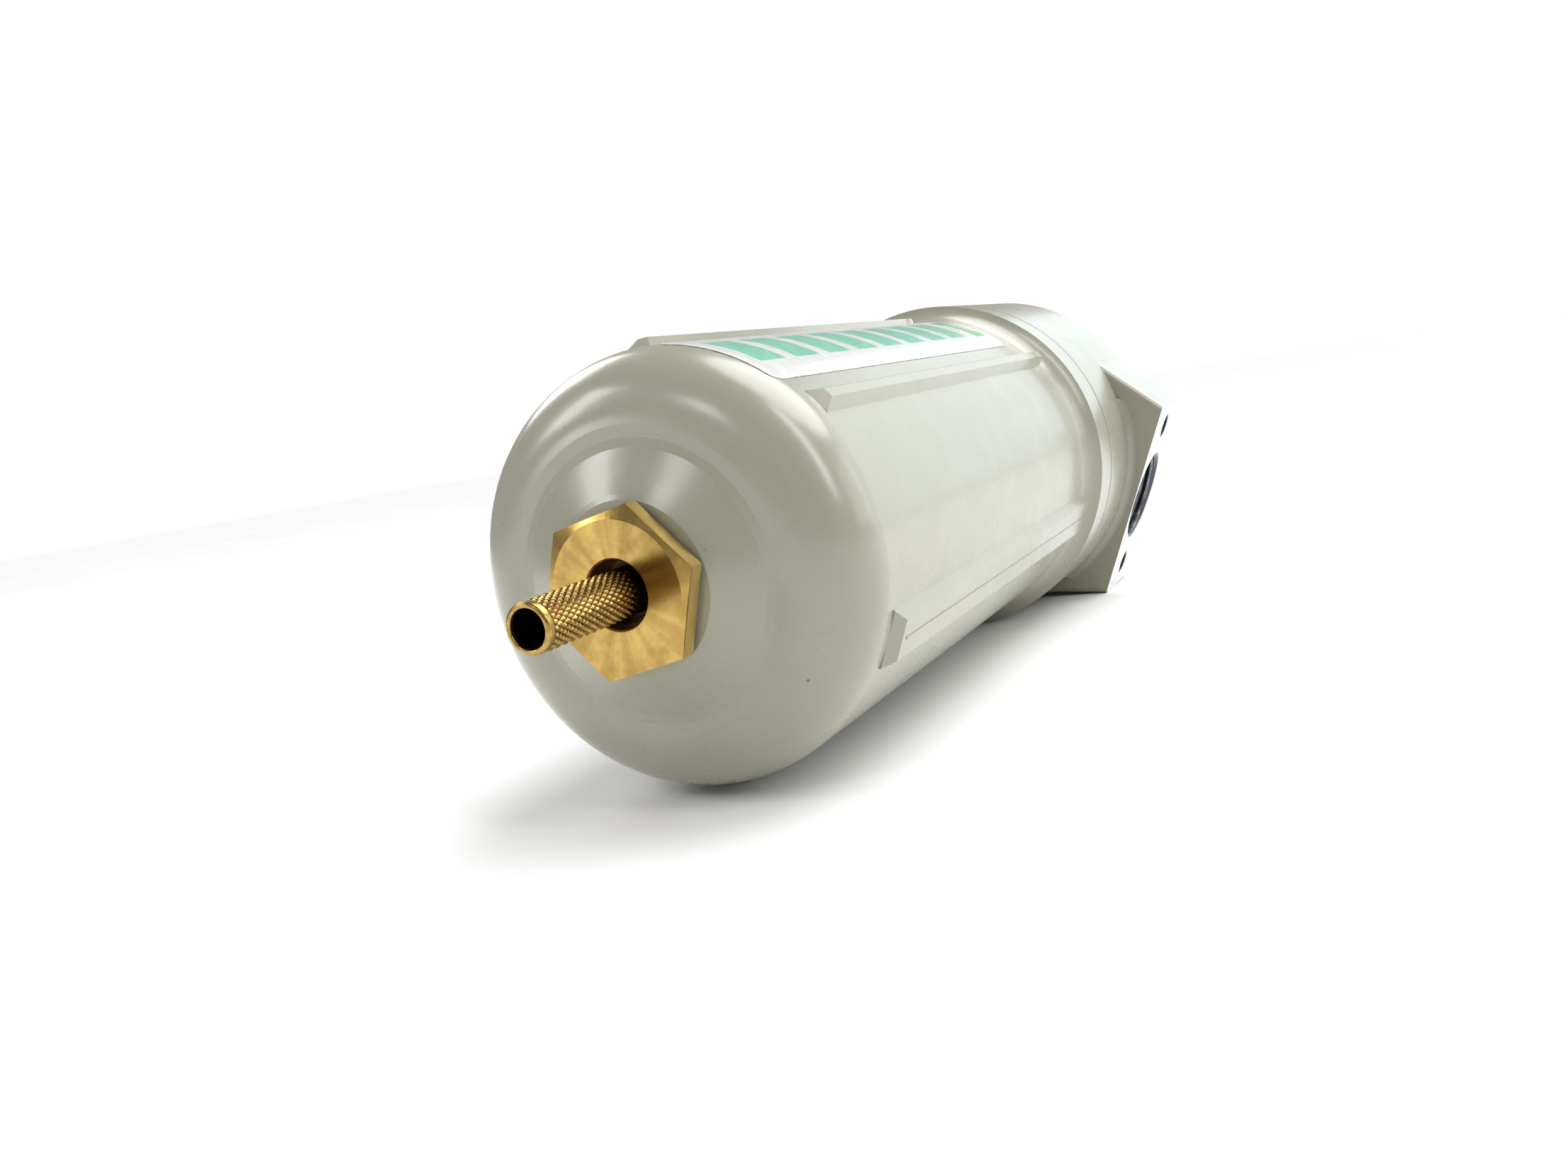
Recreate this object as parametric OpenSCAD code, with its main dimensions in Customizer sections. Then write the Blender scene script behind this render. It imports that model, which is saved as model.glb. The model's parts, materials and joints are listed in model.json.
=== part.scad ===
// Inline compressed-air filter lying on its side: a die-cast head with two ports, a screwed bowl,
// a coalescing element and a float drain with a knurled stem.
// Every piece is drawn upright (Z along the bowl, head on top, ports along X) and then laid down.

/* [Bowl] */
// Outer radius of the bowl
bowl_r = 40; // [38:0.5:41]
// Wall thickness of the bowl
bowl_wall = 3.5; // [3:0.25:4]
// Radius of the rounded rim at the drain end
rim_r = 12.5; // [10:0.5:14]
// Height at which the straight side starts
rim_z = 21.5; // [20:0.5:23]
// Radius of the collar under the head
collar_r = 44; // [43:0.5:45]
// Lower edge of the collar
collar_z = 160.4; // [158:0.2:162]
// Height of the joint between bowl and head
joint_z = 171.4; // [170:0.2:173]
// Gap that shows as the line between bowl and head
joint_gap = 0.4; // [0.3:0.05:0.6]

/* [Ribs] */
// Height of the ribs on the side
rib_h = 1.8; // [1:0.1:2]
// Angle between the port ribs and the label ribs
rib_angle = 63.4; // [60:0.2:66]
// Height at which the ribs start
rib_z = 23.6; // [23:0.2:26]

/* [Head] */
// Top of the head
head_top = 221; // [220:0.5:224]
// Underside of the port blocks
block_z = 193; // [192:0.5:194]
// Distance from the axis to each port face
face_x = 47.5; // [46.5:0.5:49]
// Half width of the port face
face_half = 28; // [27:0.5:29]
// Angle by which the sides of the blocks spread towards the axis
block_spread = 18.4; // [15:0.2:20]
// Minor radius of the port thread
port_r = 12.1; // [11.8:0.1:12.3]
// Distance between the two fixing holes in a port face
fixing_pitch = 42; // [41:0.5:43]
// Minor radius of the fixing holes
fixing_r = 3.3; // [2.5:0.1:3.4]

/* [Drain] */
// Width across the flats of the drain's hexagon
hex_af = 27; // [26:0.5:28]
// Thickness of the hexagon
hex_t = 3.6; // [3:0.1:4]
// Radius of the turned circle on the hexagon's front
facing_r = 12.7; // [12:0.1:13.4]
// Radius of the recess round the stem
recess_r = 6; // [5.8:0.1:6.2]
// Outer radius of the knurled stem
stem_r = 4.3; // [4.2:0.05:4.5]
// Bore radius of the stem
stem_bore_r = 3.2; // [3:0.1:3.3]
// Length of stem that stands out of the hexagon
stem_out = 23.8; // [20:0.2:26]

/* [Element] */
// Outer radius of the element's end caps
cap_r = 28.5; // [27:0.5:29]
// Height of the element's lower end
element_z = 68; // [67:0.5:72]
// Number of pleats in the medium
pleats = 32; // [24:4:40]

/* [Hidden] */
$fn = 96;
eps = 0.01;
fit = 0.05;

// Resting place: the lowest rib's end, the collar and one port face's corner touch the floor
head_bottom = joint_z + joint_gap / 2;
collar_top = joint_z - joint_gap / 2;
pitch = atan((collar_r - bowl_r - rib_h) / (collar_z - rib_z - rib_h));
corner_r = norm([face_x, face_half]);
corner_angle = atan2(face_half, face_x);
corner_drop = collar_r + (block_z + 3 - collar_z) * tan(pitch);
roll = asin(corner_drop / corner_r) - corner_angle;
axis_lift = collar_r * cos(pitch) - (collar_z + 0.5) * sin(pitch);
plug_x = 19;
plug_r = 5.2;
plug_head = [7.2, 4];
back_y = (head_top + plug_head[1]) * cos(pitch) + (plug_x * sin(roll) + plug_head[0]) * sin(pitch);
front_y = -stem_out * cos(pitch) - stem_r * sin(pitch);

// Bowl and head interior
inner_r = bowl_r - bowl_wall;
floor_z = 12.5;
seat_z = hex_t + 1;
seat_r = 16.2;
dome_z = rim_z - rim_r;
neck_r = 31.5;
thread_r = 37.5;
thread_top = 184;
nose_r = 35.5;
nose_top = 190;
groove_r = 33.5;
groove_z = [185.6, 188.6];
ceiling_z = 191;
seal_bore_r = 35.9;
port_z = (block_z + head_top) / 2;
port_depth = 16.5;
passage_r = 8;
spigot_r = 15;
spigot_bore_r = 11;
spigot_z = 179;
gallery_r = 39.5;
gallery_top = 211;

// Element
cap_top = 176;
stub_r = 10.6;
stub_bore_r = 7;
stub_top = 190;
core_r = 15.5;
media_r = [16.4, 24];
outer_core_r = 25;
media_z = [element_z + 4, cap_top - 6];

// Drain
shank_r = 10.3;
shank_top = 17;
guide_r = 4;
guide_top = 46;
orifice_r = 1.5;
stem_guide_r = 3.95;
stem_top = 13;
hex_turn = 24.3;
float_r = 16;
float_z = [17.5, 35.4];
cage_r = 19.5;
cage_inner_r = 17.7;
cage_z = [12.6, 52];
pivot = [-13, 48.75];
foot_x = 14;
pin_r = 1;

module laid() {
    translate([0, -(back_y + front_y) / 2, axis_lift])
        rotate([pitch - 90, 0, 0])
            rotate([0, 0, roll])
                children();
}

module tube(outer, inner, z0, z1) {
    difference() {
        translate([0, 0, z0]) cylinder(r = outer, h = z1 - z0);
        translate([0, 0, z0 - 1]) cylinder(r = inner, h = z1 - z0 + 2);
    }
}

module ring(centre_r, cord_r, z) {
    translate([0, 0, z])
        rotate_extrude()
            translate([centre_r, 0]) circle(r = cord_r, $fn = 32);
}

// ---------- bowl ----------
module bowl_outline() {
    flare = 9;
    difference() {
        union() {
            translate([0, rim_z]) square([bowl_r, collar_z - rim_z]);
            translate([0, dome_z]) square([bowl_r - rim_r, rim_r]);
            translate([bowl_r - rim_r, rim_z]) circle(r = rim_r);
            polygon([[0, seat_z], [seat_r - 0.9, seat_z], [seat_r, seat_z + 0.5],
                [22.4, 8.1], [23.6, 8.7], [25.2, dome_z], [0, dome_z]]);
            translate([0, collar_z - 7.48]) square([collar_r, 7.48]);
            polygon([[0, collar_z - eps], [collar_r, collar_z - eps], [collar_r, collar_top - 0.3],
                [collar_r - 0.3, collar_top], [0, collar_top]]);
            translate([0, collar_top - eps]) square([thread_r, thread_top - collar_top]);
            translate([0, thread_top - 1]) square([nose_r, nose_top - thread_top + 1]);
        }
        translate([bowl_r + flare, collar_z - 7.48]) circle(r = flare);
        translate([groove_r, groove_z[0]]) square([10, groove_z[1] - groove_z[0]]);
    }
}

module bowl_cavity() {
    fillet = rim_r - bowl_wall;
    translate([0, rim_z]) square([inner_r, 150 - rim_z]);
    translate([0, floor_z]) square([inner_r - fillet, rim_z - floor_z + 1]);
    translate([inner_r - fillet, rim_z]) circle(r = fillet);
    polygon([[0, 149], [inner_r, 149], [inner_r, 150], [neck_r, 156], [neck_r, 200], [0, 200]]);
}

module rib(angle, foot, top) {
    rotate([0, 0, angle])
        intersection() {
            linear_extrude(collar_z)
                polygon([[bowl_r - 1, -foot - 1], [bowl_r + rib_h, -top],
                    [bowl_r + rib_h, top], [bowl_r - 1, foot + 1]]);
            rotate([90, 0, 0])
                linear_extrude(20, center = true)
                    polygon([[bowl_r - 2, rib_z], [bowl_r, rib_z], [bowl_r + rib_h, rib_z + rib_h * 1.2],
                        [bowl_r + rib_h, collar_z - 2.5], [bowl_r - 2, collar_z - 1]]);
        }
}

module casting_line(angle) {
    rotate([0, 0, angle])
        translate([bowl_r + 1, -0.2, rib_z + 4])
            cube([rib_h - 1 + 0.15, 0.4, collar_z - rib_z - 8]);
}

module bowl() {
    color([0.80, 0.79, 0.73])
    difference() {
        union() {
            rotate_extrude() bowl_outline();
            for (side = [0, 180]) {
                rib(side, 5.1, 3.9);
                casting_line(side);
                rib(side - rib_angle, 2.5, 1);
                rib(side + rib_angle, 2.5, 1);
            }
        }
        rotate_extrude() bowl_cavity();
        cylinder(r = shank_r + fit, h = 30);
    }
}

module label() {
    half = 17.6;
    color([0.93, 0.94, 0.93])
    rotate([0, 0, -90 - half])
        translate([0, 0, 19.5])
            rotate_extrude(angle = 2 * half)
                translate([bowl_r + 0.02, 0]) square([0.14, 130]);
}

module bowl_oring() {
    color([0.12, 0.12, 0.12])
    ring(34.7, 1.15, (groove_z[0] + groove_z[1]) / 2);
}

// ---------- head ----------
module blocks() {
    inner_x = 18;
    inner_y = face_half + (face_x - inner_x) * tan(block_spread);
    translate([0, 0, block_z])
        linear_extrude(head_top - block_z)
            polygon([[face_x, face_half], [inner_x, inner_y], [-inner_x, inner_y],
                [-face_x, face_half], [-face_x, -face_half], [-inner_x, -inner_y],
                [inner_x, -inner_y], [face_x, -face_half]]);
}

// Planes tangent to an arc round off an edge that runs along X, with faces towards +Y and +Z
module edge_bevels(radius, length) {
    for (angle = [22.5, 45, 67.5])
        translate([0, -radius, -radius])
            rotate([angle, 0, 0])
                translate([-length / 2, radius, -3]) cube([length, 5, 6]);
}

module block_edges() {
    radius = 2;
    for (sx = [0, 1]) for (sy = [0, 1])
        mirror([sx, 0, 0]) mirror([0, sy, 0])
            translate([face_x, face_half, 0])
                rotate([0, 0, -block_spread]) {
                    translate([0, 0, head_top]) edge_bevels(radius, 60);
                    translate([0, 0, block_z]) mirror([0, 0, 1]) edge_bevels(radius, 60);
                }
}

module head() {
    root_r = 2;
    color([0.80, 0.79, 0.73])
    difference() {
        union() {
            difference() {
                blocks();
                block_edges();
            }
            rotate_extrude() {
                polygon([[0, head_bottom], [collar_r - 0.3, head_bottom],
                    [collar_r, head_bottom + 0.3], [collar_r, head_top - 2], [0, head_top - 2]]);
                translate([0, head_top - 3]) square([collar_r - 2, 3]);
                translate([collar_r - 2, head_top - 2]) circle(r = 2);
            }
            intersection() {
                translate([0, 0, block_z - 1.5 * root_r])
                    linear_extrude(2 * root_r)
                        square([2 * face_x - 3, 2 * face_half - 2], center = true);
                rotate_extrude()
                    difference() {
                        translate([collar_r - 1, block_z - root_r]) square([root_r + 1, root_r + eps]);
                        translate([collar_r + root_r, block_z - root_r]) circle(r = root_r);
                    }
            }
        }
        // thread, seal bore and chamber
        translate([0, 0, head_bottom - 1]) cylinder(r = thread_r + fit, h = thread_top - head_bottom + 1.5);
        difference() {
            translate([0, 0, thread_top]) cylinder(r = seal_bore_r, h = ceiling_z - thread_top);
            translate([0, 0, spigot_z]) cylinder(r = spigot_r, h = 20);
        }
        difference() {
            translate([0, 0, thread_top - 1]) cylinder(r = thread_r - 1, h = 1.5);
            translate([0, 0, spigot_z]) cylinder(r = spigot_r, h = 20);
        }
        // inlet: port, cross passage, spigot bore; outlet: chamber, gallery beside the spigot, passage, port
        for (side = [1, -1]) {
            translate([side * face_x, 0, port_z]) rotate([0, -90 * side, 0]) {
                translate([0, 0, -1]) cylinder(r = port_r, h = port_depth + 1);
                translate([0, 0, -eps]) cylinder(r1 = port_r + 1.1, r2 = port_r, h = 1.1);
            }
            for (sy = [1, -1])
                translate([side * face_x, sy * fixing_pitch / 2, port_z]) rotate([0, -90 * side, 0]) {
                    translate([0, 0, -1]) cylinder(r = fixing_r, h = 15);
                    translate([0, 0, -eps]) cylinder(r1 = fixing_r + 0.5, r2 = fixing_r, h = 0.5);
                }
            translate([side * plug_x, 0, head_top - 7.5]) cylinder(r = plug_r - 0.3, h = 10);
            translate([side * plug_x, 0, head_top - 10]) cylinder(r = 1.5, h = 5);
        }
        translate([0, 0, port_z]) rotate([0, 90, 0]) cylinder(r = passage_r, h = face_x - port_depth + 1);
        translate([0, 0, spigot_z - 1]) cylinder(r = spigot_bore_r, h = port_z - spigot_z - 5);
        translate([-face_x + port_depth - 1, 0, port_z])
            rotate([0, 90, 0]) cylinder(r = passage_r, h = 6);
        intersection() {
            tube(gallery_r, spigot_r + 1, ceiling_z - 0.5, gallery_top);
            translate([-face_x + port_depth + 0.5, -50, 0])
                cube([face_x - port_depth - 3.5, 100, gallery_top]);
        }
    }
}

module plug(side) {
    socket_af = 5;
    color([0.72, 0.71, 0.68])
    difference() {
        union() {
            translate([side * plug_x, 0, head_top - 7]) cylinder(r = plug_r - 0.35, h = 8.4);
            translate([side * plug_x, 0, head_top + 1.3])
                cylinder(r = plug_head[0], h = plug_head[1] - 1.8);
            translate([side * plug_x, 0, head_top + plug_head[1] - 0.5])
                cylinder(r1 = plug_head[0], r2 = plug_head[0] - 0.5, h = 0.5);
        }
        translate([side * plug_x, 0, head_top - 0.5])
            cylinder(r = socket_af / sqrt(3), h = 10, $fn = 6);
    }
}

module plug_seal(side) {
    color([0.12, 0.12, 0.12])
    translate([side * plug_x, 0, 0])
        tube(6.8, plug_r + 0.1, head_top + 0.02, head_top + 1.28);
}

module plug_inlet() { plug(1); }
module plug_outlet() { plug(-1); }
module plug_seal_inlet() { plug_seal(1); }
module plug_seal_outlet() { plug_seal(-1); }

// ---------- element ----------
module element_top_cap() {
    color([0.15, 0.20, 0.35])
    difference() {
        union() {
            translate([0, 0, cap_top - 6]) cylinder(r = cap_r, h = 6);
            translate([0, 0, media_z[1] - 4]) tube(cap_r, cap_r - 1.2, 0, 5);
            translate([0, 0, cap_top - 1]) cylinder(r = stub_r, h = stub_top - cap_top + 1);
        }
        translate([0, 0, media_z[1] - 5]) cylinder(r = stub_bore_r, h = 40);
        for (z = [182, 186.4]) tube(20, 9.2, z - 1.1, z + 1.1);
    }
}

module element_oring(z) {
    color([0.12, 0.12, 0.12])
    ring(10.1, 0.85, z);
}

module element_oring_upper() { element_oring(186.4); }
module element_oring_lower() { element_oring(182); }

module slotted(outer, wall, pairs, rows, width) {
    step = (media_z[1] - media_z[0] - 8) / rows;
    color([0.74, 0.75, 0.76])
    difference() {
        tube(outer, outer - wall, media_z[0] + 0.1, media_z[1] - 0.1);
        for (row = [0 : rows - 1]) for (i = [0 : pairs - 1])
            rotate([0, 0, (i + 0.5) * 180 / pairs])
                translate([-40, -width / 2, media_z[0] + 4 + (row + 0.15) * step])
                    cube([80, width, 0.7 * step]);
    }
}

module element_inner_core() { slotted(core_r, 0.8, 4, 6, 6); }
module element_outer_core() { slotted(outer_core_r, 0.8, 6, 6, 7); }

module pleat_outline(inner, outer) {
    polygon([for (i = [0 : 2 * pleats - 1])
        let (r = i % 2 == 0 ? outer : inner, a = i * 180 / pleats) [r * cos(a), r * sin(a)]]);
}

module filter_media() {
    color([0.93, 0.92, 0.86])
    translate([0, 0, media_z[0] + 0.1])
        linear_extrude(media_z[1] - media_z[0] - 0.2)
            difference() {
                pleat_outline(media_r[0] + 1.4, media_r[1]);
                pleat_outline(media_r[0], media_r[1] - 1.4);
            }
}

module drain_sock() {
    color([0.25, 0.45, 0.60])
    tube(27.1, outer_core_r + 0.1, media_z[0] + 0.1, media_z[1] - 0.1);
}

module element_bottom_cap() {
    color([0.15, 0.20, 0.35])
    difference() {
        union() {
            translate([0, 0, element_z]) cylinder(r = cap_r, h = 4);
            tube(cap_r, cap_r - 1.2, element_z + 3, element_z + 8);
        }
        translate([0, 0, element_z - 1]) cylinder(r = 8, h = 2.5);
    }
}

// ---------- drain ----------
module drain_body() {
    hex_r = hex_af / sqrt(3);
    facing_slope = 7;
    color([0.80, 0.62, 0.27])
    difference() {
        union() {
            intersection() {
                rotate([0, 0, hex_turn]) cylinder(r = hex_r, h = hex_t, $fn = 6);
                cylinder(r1 = facing_r, r2 = facing_r + hex_t * facing_slope, h = hex_t);
            }
            translate([0, 0, hex_t - 0.5]) cylinder(r = shank_r, h = shank_top - hex_t + 0.5);
            translate([0, 0, shank_top - 1]) cylinder(r = guide_r, h = guide_top - shank_top + 1);
        }
        translate([0, 0, -1]) cylinder(r = recess_r, h = 9);
        translate([0, 0, -0.01]) cylinder(r1 = recess_r + 0.3, r2 = recess_r, h = 0.3);
        cylinder(r = stem_guide_r + fit, h = stem_top + 1.4);
        cylinder(r = orifice_r, h = 60);
    }
}

module drain_gasket() {
    color([0.35, 0.20, 0.12])
    tube(12.9, shank_r + 0.1, hex_t + 0.03, seat_z - 0.03);
}

module drain_stem() {
    plain_end = 1.3;
    color([0.83, 0.66, 0.30])
    difference() {
        union() {
            translate([0, 0, -stem_out + plain_end]) cylinder(r = stem_r, h = stem_out - plain_end + 6);
            translate([0, 0, -stem_out + 0.35]) cylinder(r = stem_r - 0.12, h = plain_end);
            translate([0, 0, -stem_out]) cylinder(r1 = stem_r - 0.45, r2 = stem_r - 0.12, h = 0.36);
            translate([0, 0, 5]) cylinder(r = stem_guide_r, h = stem_top - 5);
        }
        tube(10, 3.05, 9.4, 11.2);
        translate([0, 0, -stem_out - 1]) cylinder(r = stem_bore_r, h = stem_out + 7);
        translate([0, 0, 5]) cylinder(r = orifice_r, h = 20);
        translate([0, 0, -stem_out - 0.01]) cylinder(r1 = stem_bore_r + 0.4, r2 = stem_bore_r, h = 0.4);
        tube(10, 3.9, 6.3, 7.2);
    }
}

module stem_oring() {
    color([0.12, 0.12, 0.12])
    ring(3.53, 0.43, 10.3);
}

module stem_clip() {
    color([0.55, 0.56, 0.58])
    difference() {
        tube(5.2, 3.92, 6.35, 7.15);
        translate([0, -1.2, 5]) cube([10, 2.4, 4]);
    }
}

// ---------- float drain ----------
module float_cage() {
    color([0.88, 0.88, 0.86])
    difference() {
        union() {
            tube(cage_r, cage_inner_r, cage_z[0], cage_z[1]);
            tube(cage_r, shank_r + fit, cage_z[0], cage_z[0] + 2);
            for (sy = [1, -1])
                translate([pivot[0] - 5, sy * 4.5 - 1, 44]) cube([7, 2, cage_z[1] - 44]);
        }
        for (i = [0 : 5])
            rotate([0, 0, i * 60 + 30])
                translate([cage_inner_r - 3, -3.5, cage_z[0] + 3]) cube([10, 7, 26]);
        translate([pivot[0], 0, pivot[1]])
            rotate([90, 0, 0]) translate([0, 0, -10]) cylinder(r = pin_r + 0.02, h = 20);
        translate([8, -4, 43]) cube([20, 8, 20]);
    }
}

module strainer() {
    color([0.70, 0.71, 0.72])
    difference() {
        tube(21, 20.2, cage_z[0] + 0.1, 26);
        for (i = [0 : 8])
            rotate([0, 0, (i + 0.5) * 20])
                translate([-40, -1.5, cage_z[0] + 2.5]) cube([80, 3, 8.5]);
    }
}

module float() {
    color([0.90, 0.87, 0.75])
    difference() {
        rotate_extrude()
            difference() {
                union() {
                    translate([0, float_z[0] + 1.5]) square([float_r, float_z[1] - float_z[0] - 3]);
                    translate([0, float_z[0]]) square([float_r - 1.5, float_z[1] - float_z[0]]);
                    for (z = [float_z[0] + 1.5, float_z[1] - 1.5])
                        translate([float_r - 1.5, z]) circle(r = 1.5, $fn = 32);
                }
                translate([-1, 0]) square([guide_r + 1.6, 60]);
            }
    }
}

module lever() {
    color([0.86, 0.86, 0.83])
    difference() {
        union() {
            translate([pivot[0], -1.5, pivot[1] - 1.25]) cube([foot_x - pivot[0] + 1, 3, 2.5]);
            translate([pivot[0], 0, pivot[1]])
                rotate([90, 0, 0]) translate([0, 0, -3]) cylinder(r = 2.2, h = 6);
            translate([0, 0, pivot[1] - 1.25]) cylinder(r = 3.2, h = 2.5);
            translate([foot_x - 1, -1.5, float_z[1] + 0.5]) cube([2, 3, pivot[1] - float_z[1] - 0.5]);
        }
        translate([pivot[0], 0, pivot[1]])
            rotate([90, 0, 0]) translate([0, 0, -10]) cylinder(r = pin_r + fit, h = 20);
    }
}

module lever_pin() {
    color([0.60, 0.61, 0.62])
    translate([pivot[0], 0, pivot[1]])
        rotate([90, 0, 0]) translate([0, 0, -5.5]) cylinder(r = pin_r, h = 11);
}

module valve_pad() {
    color([0.12, 0.12, 0.12])
    translate([0, 0, guide_top + 0.3]) cylinder(r = 2.3, h = pivot[1] - 1.25 - guide_top - 0.32);
}

laid() head();
laid() plug_inlet();
laid() plug_outlet();
laid() plug_seal_inlet();
laid() plug_seal_outlet();
laid() bowl();
laid() label();
laid() bowl_oring();
laid() element_top_cap();
laid() element_oring_upper();
laid() element_oring_lower();
laid() element_inner_core();
laid() filter_media();
laid() element_outer_core();
laid() drain_sock();
laid() element_bottom_cap();
laid() drain_body();
laid() drain_gasket();
laid() drain_stem();
laid() stem_oring();
laid() stem_clip();
laid() float_cage();
laid() strainer();
laid() float();
laid() lever();
laid() lever_pin();
laid() valve_pad();
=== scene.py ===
"""Looks for an inline compressed-air filter that lies on its side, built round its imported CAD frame."""
import json
import math

import bpy
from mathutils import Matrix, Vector


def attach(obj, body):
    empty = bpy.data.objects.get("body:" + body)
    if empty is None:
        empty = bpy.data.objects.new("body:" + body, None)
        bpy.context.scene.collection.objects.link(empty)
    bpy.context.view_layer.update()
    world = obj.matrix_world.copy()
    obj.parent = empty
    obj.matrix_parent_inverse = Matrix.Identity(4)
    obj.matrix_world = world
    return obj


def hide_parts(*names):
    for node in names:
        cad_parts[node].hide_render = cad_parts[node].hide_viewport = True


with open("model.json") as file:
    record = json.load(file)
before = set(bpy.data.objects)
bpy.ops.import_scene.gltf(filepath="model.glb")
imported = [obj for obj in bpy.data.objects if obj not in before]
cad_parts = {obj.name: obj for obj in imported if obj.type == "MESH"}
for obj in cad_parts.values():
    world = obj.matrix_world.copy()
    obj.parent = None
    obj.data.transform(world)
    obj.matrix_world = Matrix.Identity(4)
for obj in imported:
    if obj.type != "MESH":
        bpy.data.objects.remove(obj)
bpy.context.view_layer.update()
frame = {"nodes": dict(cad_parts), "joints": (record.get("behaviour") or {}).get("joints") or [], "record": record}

# Sizes are the CAD model's, in millimetres. Heights count along the axis from the hexagon's face.
MM = 0.001
TURN_HEIGHT = 170.0  # the point that the bowl turns about
BOWL_R = 40.0
RIM_R = 12.5  # the rounding of the bowl's closed end
RIM_Z = 21.5  # where that rounding meets the straight side
HEAD_TOP = 221.0
BLOCK_Z = 193.0  # the port block's lower side
PORT_Z = (BLOCK_Z + HEAD_TOP) / 2
FACE_X = 47.5
PORT_R = 12.1
FIXING_Y = 21.0
FIXING_R = 3.3
RECESS_R = 6.0
STEM_R = 4.3
STEM_BORE_R = 3.2
STEM_OUT = 23.8
LABEL_Z = (19.5, 149.5)
LABEL_HALF = math.radians(17.6)  # half of the angle that the label spans


# ---------- the filter's own frame: Z along its axis, ports along X, label towards -Y ----------
def filter_frame():
    """The directions of its X, Y and Z, and its origin, worked out from the joints."""
    joints = {joint["name"]: joint for joint in frame["joints"]}
    turn = joints["bowl_turn"]
    along = -Vector(turn["axis"])
    across = -Vector(joints["lever_lift"]["axis"])
    sideways = across.cross(along)
    start = Vector(turn["pos_m"]) - TURN_HEIGHT * MM * along
    return sideways.normalized(), across.normalized(), along.normalized(), start


*AXES, START = filter_frame()


def placed(x, y, z):
    return START + MM * (x * AXES[0] + y * AXES[1] + z * AXES[2])


def polar(radius, angle, z):
    return placed(radius * math.cos(angle), radius * math.sin(angle), z)


# ---------- meshes ----------
def piece(name, points, faces, body, material, replaces=(), crease=35):
    """A mesh that rides on a body, with edges sharper than the crease angle kept sharp."""
    mesh = bpy.data.meshes.new(name)
    mesh.from_pydata([tuple(p) for p in points], [], faces)
    mesh.validate()
    mesh.shade_smooth()
    mesh.set_sharp_from_angle(angle=math.radians(crease))
    mesh.materials.append(material)
    item = bpy.data.objects.new(name, mesh)
    bpy.context.scene.collection.objects.link(item)
    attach(item, body)
    if replaces:
        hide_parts(*replaces)
    return item


def arc(centre_r, centre_z, radius, start, end, steps):
    """Points (radius, height) on an arc, its angles counted from the outward direction."""
    angles = [math.radians(start + (end - start) * i / steps) for i in range(steps + 1)]
    return [(centre_r + radius * math.cos(a), centre_z + radius * math.sin(a)) for a in angles]


KNURLS_AROUND = 24
KNURL_LENGTH = 1.95
KNURL_DEPTH = 0.37
KNURL_FLANK = 0.42  # a groove's half width, as a share of the pitch
KNURL_STEPS = 6  # mesh steps to one pitch
KNURL_Z = (-STEM_OUT + 1.3, 5.0)
RUN_OUT = 0.5  # the length over which the grooves fade at each end
PLAIN_RELIEF = 0.08  # how far the plain ends lie below the crests
LIP_R = 0.3  # the rounding at the bore's mouth
NOSE_R = 0.55  # the rounding at the stem's outer edge
BORE_RING_Z = -8.0  # a ring of points part-way along the bore
PASSAGE_R = 1.5
PASSAGE_Z = 6.0  # where the bore narrows to the passage for the water
PASSAGE_EDGE = 0.2
SHANK_R = 3.9
SPIGOT_R = 3.95
CLIP_GROOVE_R = 3.05
CLIP_GROOVE_Z = (9.4, 11.2)
STEM_END_Z = 13.0


def knurled_radius(angle, z):
    """A diamond of two crossing sets of V grooves, fading out at both ends."""
    around = KNURLS_AROUND * angle / (2 * math.pi)
    along = (z - KNURL_Z[0]) / KNURL_LENGTH
    distances = [abs(v - round(v)) for v in (around + along, around - along)]
    height = min(1.0, min(distances) / KNURL_FLANK)
    fade = max(0.0, min(1.0, (z - KNURL_Z[0]) / RUN_OUT, (KNURL_Z[1] - z) / RUN_OUT))
    return STEM_R - KNURL_DEPTH * (1 - height) * fade - PLAIN_RELIEF * (1 - fade)


def stem_profile():
    """Points (radius, height) before and after the knurl: the bore and nose, then the shank."""
    tip = -STEM_OUT
    bore = [(PASSAGE_R, STEM_END_Z), (PASSAGE_R, PASSAGE_Z + PASSAGE_EDGE)]
    bore += [(PASSAGE_R + PASSAGE_EDGE, PASSAGE_Z), (STEM_BORE_R, PASSAGE_Z), (STEM_BORE_R, BORE_RING_Z)]
    nose = arc(STEM_BORE_R + LIP_R, tip + LIP_R, LIP_R, 180, 270, 4)
    nose += arc(STEM_R - 0.12 - NOSE_R, tip + NOSE_R, NOSE_R, 270, 360, 6)
    nose += [(STEM_R - 0.1, tip + 1.0), (STEM_R - PLAIN_RELIEF, KNURL_Z[0] - 0.06)]
    shank = [(SHANK_R, KNURL_Z[1] + 0.1), (SHANK_R, CLIP_GROOVE_Z[0])]
    shank += [(CLIP_GROOVE_R, z) for z in CLIP_GROOVE_Z]
    shank += [(SPIGOT_R, CLIP_GROOVE_Z[1]), (SPIGOT_R, STEM_END_Z)]
    return bore + nose, shank


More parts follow.
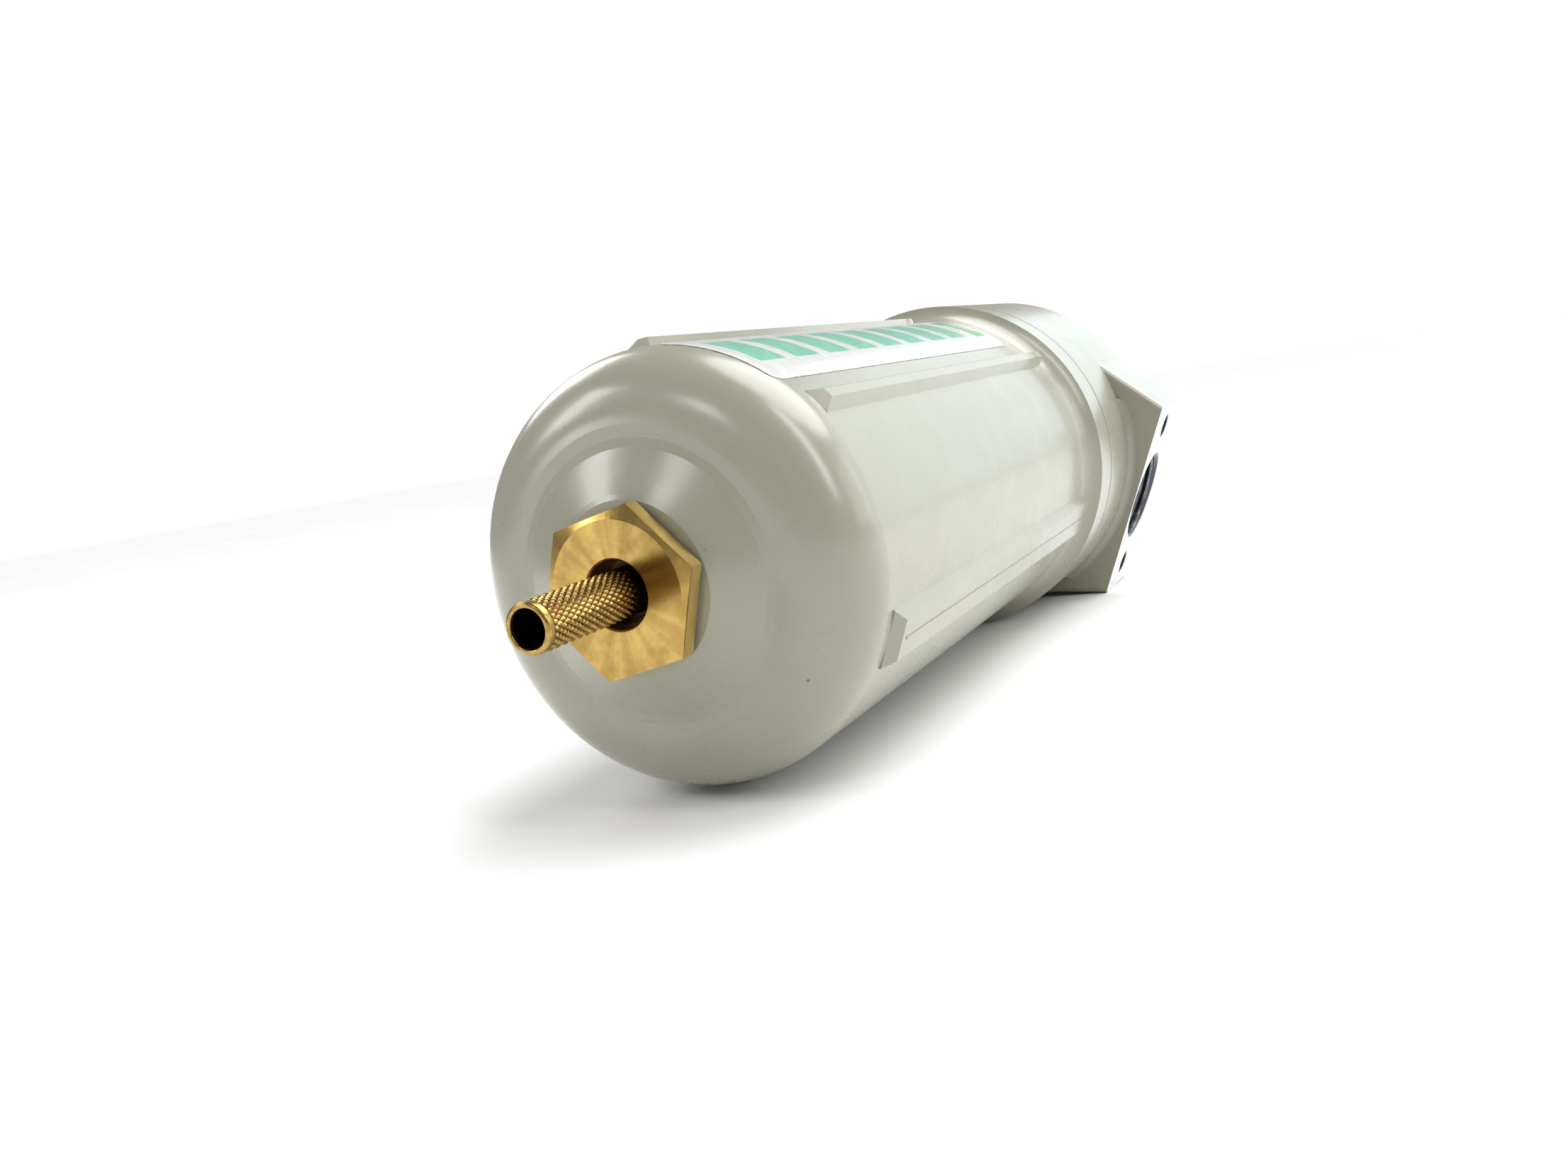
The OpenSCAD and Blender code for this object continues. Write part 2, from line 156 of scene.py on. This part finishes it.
def knurled_stem(material):
    """The drain stem as a closed turned form, its knurled stretch on a finer mesh."""
    columns = KNURLS_AROUND * KNURL_STEPS
    rows = round((KNURL_Z[1] - KNURL_Z[0]) / KNURL_LENGTH * KNURL_STEPS)
    row_step = (KNURL_Z[1] - KNURL_Z[0]) / rows
    front, back = stem_profile()
    points = []
    faces = []

    def ring(radius, z):
        start = len(points)
        for i in range(columns):
            angle = 2 * math.pi * i / columns
            points.append(polar(radius if radius else knurled_radius(angle, z), angle, z))
        return start

    def band(low, high):
        for i in range(columns):
            j = (i + 1) % columns
            faces.append((low + i, low + j, high + j, high + i))

    def crossed_band(low, high, z):
        """A band whose squares each have a point in the middle, at height z."""
        for i in range(columns):
            j = (i + 1) % columns
            angle = 2 * math.pi * (i + 0.5) / columns
            points.append(polar(knurled_radius(angle, z), angle, z))
            middle = len(points) - 1
            corners = (low + i, low + j, high + j, high + i)
            faces.extend((corners[k], corners[(k + 1) % 4], middle) for k in range(4))

    first = last = ring(*front[0])
    for radius, z in front[1:]:
        last, below = ring(radius, z), last
        band(below, last)
    for row in range(rows + 1):
        z = KNURL_Z[0] + row * row_step
        last, below = ring(None, z), last
        if row:
            crossed_band(below, last, z - row_step / 2)
        else:
            band(below, last)
    for radius, z in back:
        last, below = ring(radius, z), last
        band(below, last)
    band(last, first)
    piece("knurled_stem", points, faces, "stem", material, ("drain_stem",), crease=50)


LABEL_CORNER = 2.5
LABEL_STEPS = (28, 40)  # mesh steps across it, and along its straight stretch
FILM_LIFTS = (0.1, 0.02)  # its outer and inner face above the bowl's side


def side_radius(z):
    """Radius of the bowl's side, which rounds off towards the drain."""
    below = max(0.0, RIM_Z - z)
    return BOWL_R - RIM_R + math.sqrt(RIM_R ** 2 - below ** 2)


def label_film(material):
    """A thin curved film with rounded corners."""
    corner = LABEL_CORNER
    columns, rows = LABEL_STEPS
    half_width = LABEL_HALF * BOWL_R
    length = LABEL_Z[1] - LABEL_Z[0]
    ends = [corner * (1 - math.cos(math.radians(a))) for a in range(0, 91, 15)]
    straight = [corner + (length - 2 * corner) * i / rows for i in range(1, rows)]
    offsets = ends + straight + [length - e for e in reversed(ends)]
    points = []
    faces = []
    for lift in FILM_LIFTS:
        for offset in offsets:
            radius = side_radius(LABEL_Z[0] + offset) + lift
            near = min(offset, length - offset)
            cut = corner - math.sqrt(corner ** 2 - (corner - near) ** 2) if near < corner else 0
            for i in range(columns + 1):
                width = (half_width - cut) * (2 * i / columns - 1)
                points.append(polar(radius, -math.pi / 2 + width / BOWL_R, LABEL_Z[0] + offset))
    row = columns + 1
    count = row * len(offsets)
    for j in range(len(offsets) - 1):
        for i in range(columns):
            a = j * row + i
            faces.append((a, a + 1, a + row + 1, a + row))
            faces.append((count + a, count + a + row, count + a + row + 1, count + a + 1))
        for a, b in ((j * row, j * row + row), ((j + 2) * row - 1, (j + 1) * row - 1)):
            faces.append((a, b, count + b, count + a))
    for i in range(columns):
        a, b = i, count - row + i
        faces.append((a + 1, a, count + a, count + a + 1))
        faces.append((b, b + 1, count + b + 1, count + b))
    piece("label_film", points, faces, "bowl", material, ("label",), crease=40)


PORT_THREAD = (0.55, 1.814, 13.2)  # ridge height, pitch and depth
FIXING_THREAD = (0.32, 1.25, 11.0)
THREAD_START = 1.3  # how far inside the port face a ridge starts
THREAD_FOOT = 0.42  # half of a ridge's foot, as a share of the pitch
THREAD_ROOT = 0.05  # how far the foot reaches into the wall


def thread(name, side, y, radius, height, pitch, depth, material):
    """A V ridge that winds along a hole which runs inwards from a port face, and fades at both ends."""
    steps = max(24, int(radius * 5))
    total = int(depth / pitch * steps)
    foot = THREAD_FOOT * pitch
    points = []
    faces = []
    for i in range(total + 1):
        angle = 2 * math.pi * i / steps
        grow = min(1.0, i / steps * 2, (total - i) / steps * 2)
        way_in = THREAD_START + depth * i / total
        root, crest = radius + THREAD_ROOT, radius - height * grow
        for shift, r in ((-foot, root), (0, crest), (foot, root)):
            outwards = side * (FACE_X - way_in - shift)
            points.append(placed(outwards, y + r * math.cos(angle), PORT_Z + r * math.sin(angle) * side))
    for i in range(total):
        for k in range(3):
            m = (k + 1) % 3
            faces.append((3 * i + k, 3 * i + m, 3 * i + 3 + m, 3 * i + 3 + k))
    faces += [(2, 1, 0), (3 * total, 3 * total + 1, 3 * total + 2)]
    piece(name, points, faces, "head", material, crease=30)


# ---------- materials ----------
class Shader:
    """A material under construction: its nodes are added and wired with short calls."""

    def __init__(self, name, colour, roughness, metallic=0.0):
        self.material = bpy.data.materials.new(name)
        self.material.use_nodes = True
        self.tree = self.material.node_tree
        self.surface = self.tree.nodes["Principled BSDF"]
        self.surface.inputs["Base Color"].default_value = (*colour, 1)
        self.surface.inputs["Roughness"].default_value = roughness
        self.surface.inputs["Metallic"].default_value = metallic
        self.normal = None

    def add(self, kind, *inputs, **settings):
        """A new node: its inputs in order, and its settings or other inputs by name."""
        node = self.tree.nodes.new("ShaderNode" + kind)
        for key, value in settings.items():
            if key in node.bl_rna.properties:
                setattr(node, key, value)
            else:
                self.feed(node.inputs[key.replace("_", " ")], value)
        for socket, value in zip(node.inputs, inputs):
            self.feed(socket, value)
        return node

    def feed(self, socket, value):
        if isinstance(value, bpy.types.NodeSocket):
            self.tree.links.new(value, socket)
        elif value is not None:
            socket.default_value = value

    def math(self, operation, *inputs):
        return self.add("Math", *inputs, operation=operation).outputs[0]

    def times(self, product, *factors):
        for factor in factors:
            product = self.math("MULTIPLY", product, factor)
        return product

    def over(self, value, limit):
        return self.math("GREATER_THAN", value, limit)

    def under(self, value, limit):
        return self.math("LESS_THAN", value, limit)

    def within(self, value, span):
        return self.times(self.over(value, span[0]), self.under(value, span[1]))

    def distance(self, a, b):
        return self.math("SQRT", self.math("ADD", self.math("POWER", a, 2.0), self.math("POWER", b, 2.0)))

    def place(self):
        """The surface's place in the filter's frame, in millimetres: x, y and z."""
        here = self.add("TexCoord").outputs["Object"]
        moved = self.add("VectorMath", here, tuple(START), operation="SUBTRACT").outputs[0]
        return [self.times(self.dot(moved, axis), 1 / MM) for axis in AXES]

    def outward(self, x, y):
        """The direction out from the filter's axis, in the object's own frame."""
        ways = [self.add("VectorMath", tuple(axis), operation="SCALE", Scale=share).outputs[0]
                for axis, share in zip(AXES, (x, y))]
        both = self.add("VectorMath", *ways, operation="ADD").outputs[0]
        return self.add("VectorMath", both, operation="NORMALIZE").outputs[0]

    def dot(self, vector, axis):
        return self.add("VectorMath", vector, tuple(axis), operation="DOT_PRODUCT").outputs["Value"]

    def vector(self, x, y, z):
        return self.add("CombineXYZ", x, y, z).outputs[0]

    def noise(self, vector, scale, detail=3.0, roughness=0.55):
        node = self.add("TexNoise", Vector=vector, Scale=scale, Detail=detail, Roughness=roughness)
        return node.outputs["Fac"]

    def cells(self, vector, scale):
        return self.add("TexVoronoi", feature="F1", Vector=vector, Scale=scale).outputs["Distance"]

    def ramp(self, value, low, high, start=0.0, end=1.0):
        """From start to end as the value goes from low to high, with soft ends."""
        node = self.add("MapRange", value, low, high, start, end, clamp=True, interpolation_type="SMOOTHSTEP")
        return node.outputs[0]

    def mix(self, share, first, second):
        node = self.add("Mix", data_type="RGBA")
        for index, value in ((0, share), (6, first), (7, second)):
            value = (*value, 1) if isinstance(value, tuple) and len(value) == 3 else value
            self.feed(node.inputs[index], value)
        return node.outputs[2]

    def bump(self, height, distance):
        """Relief of the given depth in millimetres, on top of what is there."""
        node = self.add("Bump", Height=height, Distance=distance * MM, Strength=1.0)
        if self.normal is not None:
            self.feed(node.inputs["Normal"], self.normal)
        self.normal = node.outputs[0]

    def done(self, **sockets):
        for name, value in sockets.items():
            self.feed(self.surface.inputs[name.replace("_", " ")], value)
        if self.normal is not None:
            self.feed(self.surface.inputs["Normal"], self.normal)
        return self.material


PAINT = (0.296, 0.289, 0.219)
PAINT_DEEP = (0.278, 0.271, 0.203)
CHIP = (0.10, 0.085, 0.06)
BARE = (0.80, 0.81, 0.82)
BARE_DULL = (0.60, 0.61, 0.62)
PAINTED_HOLE_SHADE = (0.055, 0.055, 0.07)
FACE_SKIN = 0.06  # how deep under the port face the material still counts as the face
PORT_MOUTH_R = PORT_R + 1.25
FIXING_MOUTH_R = FIXING_R + 0.6
HOLE_END_X = 12.0  # how near to the axis the bare holes reach


def painted(name, machined=False):
    """Semi-gloss enamel over a fine cast surface, with bare milled faces where machined."""
    s = Shader(name, PAINT, 0.3)
    x, y, z = s.place()
    here = s.vector(x, y, z)
    cloudy = s.noise(here, 0.03, 2.0)
    peel = s.noise(here, 0.42, 2.0)
    colour = s.mix(s.times(s.ramp(cloudy, 0.2, 0.8), 0.6), PAINT, PAINT_DEEP)
    specks = s.cells(here, 0.16)
    patchy = s.noise(here, 0.07, 2.0)
    chipped = s.times(s.ramp(specks, 0.05, 0.03), s.ramp(patchy, 0.60, 0.62))
    colour = s.mix(chipped, colour, CHIP)
    roughness = s.ramp(s.noise(here, 0.12, 4.0), 0.3, 0.7, 0.25, 0.33)
    metallic = 0.0
    if machined:
        off_axis = s.math("SUBTRACT", z, PORT_Z)
        from_port = s.distance(y, off_axis)
        from_fixing = s.distance(s.math("SUBTRACT", s.math("ABSOLUTE", y), FIXING_Y), off_axis)
        reach = s.math("ABSOLUTE", x)
        holes = s.math("MAXIMUM", s.under(from_port, PORT_MOUTH_R), s.under(from_fixing, FIXING_MOUTH_R))
        holes = s.times(s.over(reach, HOLE_END_X), holes)
        bare = s.math("MAXIMUM", s.over(reach, FACE_X - FACE_SKIN), holes)
        lines = s.noise(s.vector(x, s.times(y, 0.15), s.times(z, 9.0)), 1.0, 3.0)
        metal = s.mix(s.ramp(lines, 0.3, 0.75), BARE, BARE_DULL)
        # Painted shade: below the port face's skin, the holes and their chamfers turn dark.
        metal = s.mix(s.ramp(reach, FACE_X - FACE_SKIN, FACE_X - 0.35), metal, PAINTED_HOLE_SHADE)
        colour = s.mix(bare, colour, metal)
        metallic = bare
        roughness = s.math("ADD", roughness, s.times(bare, 0.05))
        s.bump(s.times(lines, bare), 0.02)
    s.bump(peel, 0.012)
    s.bump(s.times(chipped, -1.0), 0.05)
    return s.done(Base_Color=colour, Roughness=roughness, Metallic=metallic, Specular_IOR_Level=0.5,
                  Coat_Weight=0.5, Coat_Roughness=0.18)


BRASS = (0.50, 0.335, 0.105)
BRASS_DULL = (0.28, 0.175, 0.048)
FLATS_PAINTED_REFLECTION = (0.78, 0.56, 0.19)
TARNISH = (0.20, 0.11, 0.035)


def turned_brass():
    """Sawn flats painted a brighter brass as painted reflection, a recess darkened as painted shade, and a faced
    front with turning marks, painted reflection rays and spots of tarnish.
    """
    s = Shader("turned_brass", BRASS, 0.3, 1.0)
    x, y, z = s.place()
    here = s.vector(x, y, z)
    radius = s.distance(x, y)
    angle = s.math("ARCTAN2", y, x)
    front = s.ramp(z, 0.62, 0.5)
    sides = s.math("SUBTRACT", 1.0, front)
    grooves = s.noise(s.vector(radius, s.times(angle, 0.35), 0.0), 9.0, 2.0)
    sawn = s.noise(s.vector(s.times(x, 0.5), s.times(y, 0.5), s.times(z, 9.0)), 1.0, 3.0)
    smudge = s.noise(here, 0.22, 5.0, 0.65)
    # Painted reflection: dull rays at random angles round the axis stand in for the turned face's streaky
    # reflection.
    around = s.vector(s.math("DIVIDE", x, radius), s.math("DIVIDE", y, radius), 0.0)
    painted_rays = s.ramp(s.noise(around, 3.2, 4.0, 0.6), 0.38, 0.62)
    spots = s.ramp(s.noise(here, 1.6, 6.0, 0.7), 0.60, 0.72)
    colour = s.mix(s.times(s.ramp(smudge, 0.36, 0.68), 0.6), BRASS, BRASS_DULL)
    colour = s.mix(s.times(painted_rays, 0.55), colour, BRASS_DULL)
    # Painted reflection: the flats get a brighter brass than the face, standing in for the bright boss that they
    # mirror.
    colour = s.mix(s.times(s.over(radius, RECESS_R + 1), sides), colour, FLATS_PAINTED_REFLECTION)
    colour = s.mix(s.times(spots, 0.5), colour, TARNISH)
    recess = s.times(s.ramp(z, 0.6, 4.0), s.under(radius, RECESS_R + 0.35))
    colour = s.mix(s.times(recess, 0.92), colour, TARNISH)
    roughness = s.ramp(smudge, 0.3, 0.7, 0.15, 0.22)
    s.bump(s.times(grooves, front), 0.010)
    s.bump(s.times(sawn, sides), 0.03)
    s.bump(s.noise(here, 1.2, 4.0), 0.006)
    return s.done(Base_Color=colour, Roughness=roughness, Anisotropic=0.85, Tangent=s.outward(x, y))


CREST = (0.42, 0.285, 0.09)
CREST_DULL = (0.30, 0.19, 0.055)
GROOVE_DARK = (0.16, 0.085, 0.025)
PAINTED_BORE_BLACK = (0.012, 0.010, 0.012)


def knurled_brass():
    """Bright crests, dark grooves and a bore painted nearly black as painted shade."""
    s = Shader("knurled_brass", CREST, 0.24, 1.0)
    x, y, z = s.place()
    here = s.vector(x, y, z)
    radius = s.distance(x, y)
    dirt = s.noise(here, 0.9, 4.0)
    # Darker in the knurl's grooves, by more in some patches than in others.
    groove = s.ramp(radius, STEM_R - 0.08, STEM_R - KNURL_DEPTH)
    knurled = s.times(s.over(radius, STEM_R - KNURL_DEPTH - 0.1), s.over(z, KNURL_Z[0] + 0.2))
    groove_dark = s.times(groove, knurled, s.ramp(dirt, 0.2, 0.6, 0.45, 0.95))
    colour = s.mix(s.ramp(dirt, 0.35, 0.75), CREST, CREST_DULL)
    colour = s.mix(groove_dark, colour, GROOVE_DARK)
    # Painted shade: the stem's bore is painted nearly black from just inside its mouth.
    bore = s.times(s.under(radius, STEM_BORE_R + 0.03), s.ramp(z, 0.2 - STEM_OUT, 0.9 - STEM_OUT))
    colour = s.mix(bore, colour, PAINTED_BORE_BLACK)
    roughness = s.math("ADD", s.ramp(dirt, 0.3, 0.7, 0.18, 0.32), s.times(bore, 0.3))
    s.bump(s.noise(here, 5.0, 3.0), 0.012)
    return s.done(Base_Color=colour, Roughness=roughness)


BAR_PITCH = 14.25
BAR_SHARE = 0.70  # a bar's length, as a share of the pitch
PRINT_Z = (24.0, 138.0)
BAND_Z = (141.0, 148.6)
PRINT_HALF = 6.1  # half of the bars' width
EDGE_LINE = 0.14
EDGE = (0.22, 0.20, 0.14)
FILM = (0.64, 0.655, 0.635)
GREEN = (0.16, 0.50, 0.35)
BAND_GREEN = (0.03, 0.33, 0.10)


def printed_film():
    """White film with a row of plain green bars, a green end band and a thin edge line."""
    s = Shader("printed_film", FILM, 0.28)
    x, y, z = s.place()
    here = s.vector(x, y, z)
    angle = s.math("ADD", s.math("ARCTAN2", y, x), math.pi / 2)
    reach = s.math("ABSOLUTE", s.times(angle, BOWL_R))
    step = s.math("FRACT", s.math("DIVIDE", s.math("SUBTRACT", z, PRINT_Z[0]), BAR_PITCH))
    bars = s.times(s.under(step, BAR_SHARE), s.within(z, PRINT_Z), s.under(reach, PRINT_HALF))
    band = s.times(s.within(z, BAND_Z), s.under(reach, PRINT_HALF + 0.6))
    ink = s.math("MAXIMUM", bars, band)
    worn = s.ramp(s.noise(here, 0.7, 5.0), 0.25, 0.55, 0.78, 1.0)
    colour = s.mix(s.times(bars, worn), FILM, GREEN)
    colour = s.mix(band, colour, BAND_GREEN)
    near_side = s.over(reach, LABEL_HALF * BOWL_R - EDGE_LINE)
    near_end = s.under(z, LABEL_Z[0] + 0.10)
    soiled = s.ramp(s.noise(here, 0.9, 3.0), 0.3, 0.6, 0.2, 0.8)
    colour = s.mix(s.times(s.math("MAXIMUM", near_side, near_end), soiled), colour, EDGE)
    s.bump(s.noise(here, 0.10, 2.0), 0.10)
    s.bump(s.times(ink, -1.0), 0.006)
    roughness = s.ramp(s.noise(here, 0.3, 3.0), 0.3, 0.7, 0.2, 0.34)
    return s.done(Base_Color=colour, Roughness=roughness, Coat_Weight=0.4)


def threaded_metal():
    """Dull cut metal, darker in patches."""
    s = Shader("threaded_metal", (0.20, 0.20, 0.22), 0.4, 1.0)
    here = s.vector(*s.place())
    dirt = s.noise(here, 0.5, 4.0)
    colour = s.mix(s.ramp(dirt, 0.35, 0.7), (0.22, 0.22, 0.24), (0.09, 0.09, 0.10))
    s.bump(s.noise(here, 3.0, 3.0), 0.02)
    return s.done(Base_Color=colour)


WEAVES_AROUND = 24.0  # radians of weave to one radian round the axis


def textured(name, light, dark, roughness, metallic, scale, depth, kind="noise", **sockets):
    """A finish of two tones with its own grain: noise, cells, weave or rolled."""
    s = Shader(name, light, roughness, metallic)
    x, y, z = s.place()
    here = s.vector(x, y, z)
    if kind == "cells":
        pattern = s.cells(here, scale)
    elif kind == "weave":
        around = s.times(s.math("ARCTAN2", y, x), WEAVES_AROUND)
        waves = [s.math("SINE", s.times(v, scale)) for v in (around, z)]
        pattern = s.math("ADD", s.times(*waves, 0.5), 0.5)
    elif kind == "rolled":
        pattern = s.noise(s.vector(x, y, s.times(z, 0.1)), scale, 3.0)
    else:
        pattern = s.noise(here, scale, 4.0)
    wide = s.noise(here, 0.15, 3.0)
    colour = s.mix(s.ramp(pattern, 0.25, 0.8), light, dark)
    colour = s.mix(s.times(s.ramp(wide, 0.4, 0.7), 0.35), colour, dark)
    s.bump(pattern, depth)
    rough = s.ramp(wide, 0.3, 0.7, max(0.05, roughness - 0.06), min(1.0, roughness + 0.08))
    return s.done(Base_Color=colour, Roughness=rough, **sockets)


def inner_finishes():
    """Finishes of the small and the hidden pieces, by material slot, or by node with "_own" added."""
    return {
        "rubber": textured("nitrile_rubber", (0.035, 0.034, 0.033), (0.015, 0.015, 0.015),
                           0.5, 0.0, 1.2, 0.02),
        "fibre": textured("pressed_fibre", (0.26, 0.12, 0.06), (0.14, 0.06, 0.03), 0.75, 0.0, 1.8, 0.05),
        "cap": textured("moulded_cap", (0.07, 0.11, 0.26), (0.05, 0.08, 0.20), 0.42, 0.0, 0.8, 0.03),
        "steel": textured("rolled_steel", (0.66, 0.67, 0.68), (0.46, 0.47, 0.48),
                          0.32, 1.0, 2.5, 0.02, "rolled"),
        "stem_clip_own": textured("blackened_steel", (0.10, 0.08, 0.05), (0.05, 0.04, 0.03),
                                  0.5, 1.0, 0.9, 0.02),
        "plug_steel": textured("plated_steel", (0.64, 0.63, 0.58), (0.42, 0.41, 0.38), 0.34, 1.0, 0.9, 0.02),
        "medium": textured("pleated_paper", (0.86, 0.84, 0.76), (0.68, 0.65, 0.56), 0.85, 0.0, 2.4, 0.08,
                           "weave", Sheen_Weight=0.3),
        "sock": textured("open_foam", (0.20, 0.36, 0.50), (0.08, 0.17, 0.26), 0.9, 0.0, 1.1, 0.45,
                         "cells", Sheen_Weight=0.4),
        "white_plastic": textured("moulded_white", (0.80, 0.80, 0.77), (0.70, 0.70, 0.66),
                                  0.4, 0.0, 0.9, 0.02),
        "float_foam": textured("closed_foam", (0.84, 0.79, 0.65), (0.66, 0.60, 0.46),
                               0.8, 0.0, 1.6, 0.12, "cells"),
    }


# ---------- dressing ----------
def dress(finishes):
    """Give each CAD node its own finish, or else that of its material slot."""
    slots = {part["node"]: part["material_slot"] for part in frame["record"]["subparts"]}
    for name, node in frame["nodes"].items():
        finish = finishes.get(name + "_own", finishes[slots[name]])
        node.data.materials.clear()
        node.data.materials.append(finish)


def ports(material):
    """The ridges in both ports and in the four fixing holes."""
    for side, word in ((1, "right"), (-1, "left")):
        thread("port_thread_" + word, side, 0, PORT_R, *PORT_THREAD, material)
        for y, where in ((-FIXING_Y, "lower"), (FIXING_Y, "upper")):
            thread(f"fixing_thread_{word}_{where}", side, y, FIXING_R, *FIXING_THREAD, material)


# ---------- stage ----------
def floor():
    """A pale floor with a faint unevenness of tone."""
    size = 4.0
    mesh = bpy.data.meshes.new("floor")
    corners = [(-size, -size, 0), (size, -size, 0), (size, size, 0), (-size, size, 0)]
    mesh.from_pydata(corners, [], [(0, 1, 2, 3)])
    s = Shader("pale_floor", (0.93, 0.93, 0.93), 0.55)
    here = s.add("TexCoord").outputs["Object"]
    tone = s.mix(s.ramp(s.noise(here, 9.0, 4.0), 0.3, 0.7), (0.95, 0.95, 0.95), (0.91, 0.91, 0.915))
    mesh.materials.append(s.done(Base_Color=tone, Specular_IOR_Level=0.2))
    item = bpy.data.objects.new("floor", mesh)
    bpy.context.scene.collection.objects.link(item)


OBJECT_MIDDLE = (0.0, 0.0, 0.045)


def softbox(name, place, size, power, aim=OBJECT_MIDDLE, colour=(1.0, 1.0, 1.0)):
    """A rectangular light that faces the point it is aimed at."""
    light = bpy.data.lights.new(name, "AREA")
    light.shape = "RECTANGLE"
    light.size, light.size_y = size
    light.energy = power
    light.color = colour
    item = bpy.data.objects.new(name, light)
    item.location = place
    item.rotation_euler = (Vector(aim) - Vector(place)).to_track_quat("-Z", "Y").to_euler()
    bpy.context.scene.collection.objects.link(item)


def overhead(strength, towards):
    """One very large soft source, so far away that it lights the floor evenly."""
    light = bpy.data.lights.new("overhead", "SUN")
    light.energy = strength
    light.angle = math.radians(50)
    item = bpy.data.objects.new("overhead", light)
    item.rotation_euler = (-Vector(towards)).to_track_quat("-Z", "Y").to_euler()
    bpy.context.scene.collection.objects.link(item)


def surroundings(seen, lit):
    """A white backdrop: the camera sees it brighter than it lights the object."""
    world = bpy.data.worlds.new("studio")
    world.use_nodes = True
    nodes, links = world.node_tree.nodes, world.node_tree.links
    ray = nodes.new("ShaderNodeLightPath")
    strength = nodes.new("ShaderNodeMapRange")
    strength.inputs["To Min"].default_value = lit
    strength.inputs["To Max"].default_value = seen
    links.new(ray.outputs["Is Camera Ray"], strength.inputs["Value"])
    links.new(strength.outputs[0], nodes["Background"].inputs["Strength"])
    nodes["Background"].inputs["Color"].default_value = (1, 1, 1, 1)
    bpy.context.scene.world = world


def camera():
    """The photograph's viewpoint, lens and framing."""
    view = bpy.data.cameras.new("view")
    view.sensor_width = 36
    view.lens = 29.056
    view.shift_x = 0.00234
    view.shift_y = 0.00288
    view.clip_start = 0.01
    item = bpy.data.objects.new("view", view)
    item.location = (0.12217, -0.27071, 0.06653)
    item.rotation_euler = [math.radians(a) for a in (81.915, 9.190, 27.020)]
    bpy.context.scene.collection.objects.link(item)
    bpy.context.scene.camera = item


def main():
    """Dress the CAD nodes, add the finer pieces, then set up the stage, lights and camera."""
    finishes = inner_finishes()
    finishes["paint"] = painted("enamel")
    finishes["head_own"] = painted("enamel_and_milled", machined=True)
    finishes["brass"] = turned_brass()
    finishes["stem_brass"] = knurled_brass()
    finishes["foil"] = printed_film()
    dress(finishes)
    knurled_stem(finishes["stem_brass"])
    label_film(finishes["foil"])
    ports(threaded_metal())
    floor()
    surroundings(seen=1.05, lit=0.30)
    overhead(3.1, (0.30, 0.45, 0.85))
    softbox("back", (0.55, 1.25, 0.42), (1.6, 0.8), 5.6, colour=(0.84, 0.95, 1.0))
    softbox("left", (-0.64, -0.49, 0.55), (0.20, 0.40), 2.0)
    softbox("low_left", (-0.52, -0.72, 0.15), (0.12, 0.10), 0.35)
    softbox("front", (-0.10, -0.78, 0.60), (0.18, 0.18), 0.8)
    softbox("right", (0.74, -0.19, 0.68), (0.14, 0.80), 2.9)
    softbox("side", (0.95, 0.45, 0.35), (0.7, 0.5), 2.2, (0.0, 0.08, 0.045))
    softbox("back_left", (-0.75, 0.40, 0.60), (0.4, 0.4), 2.4)
    camera()
    bpy.context.scene.view_settings.view_transform = "Standard"


main()
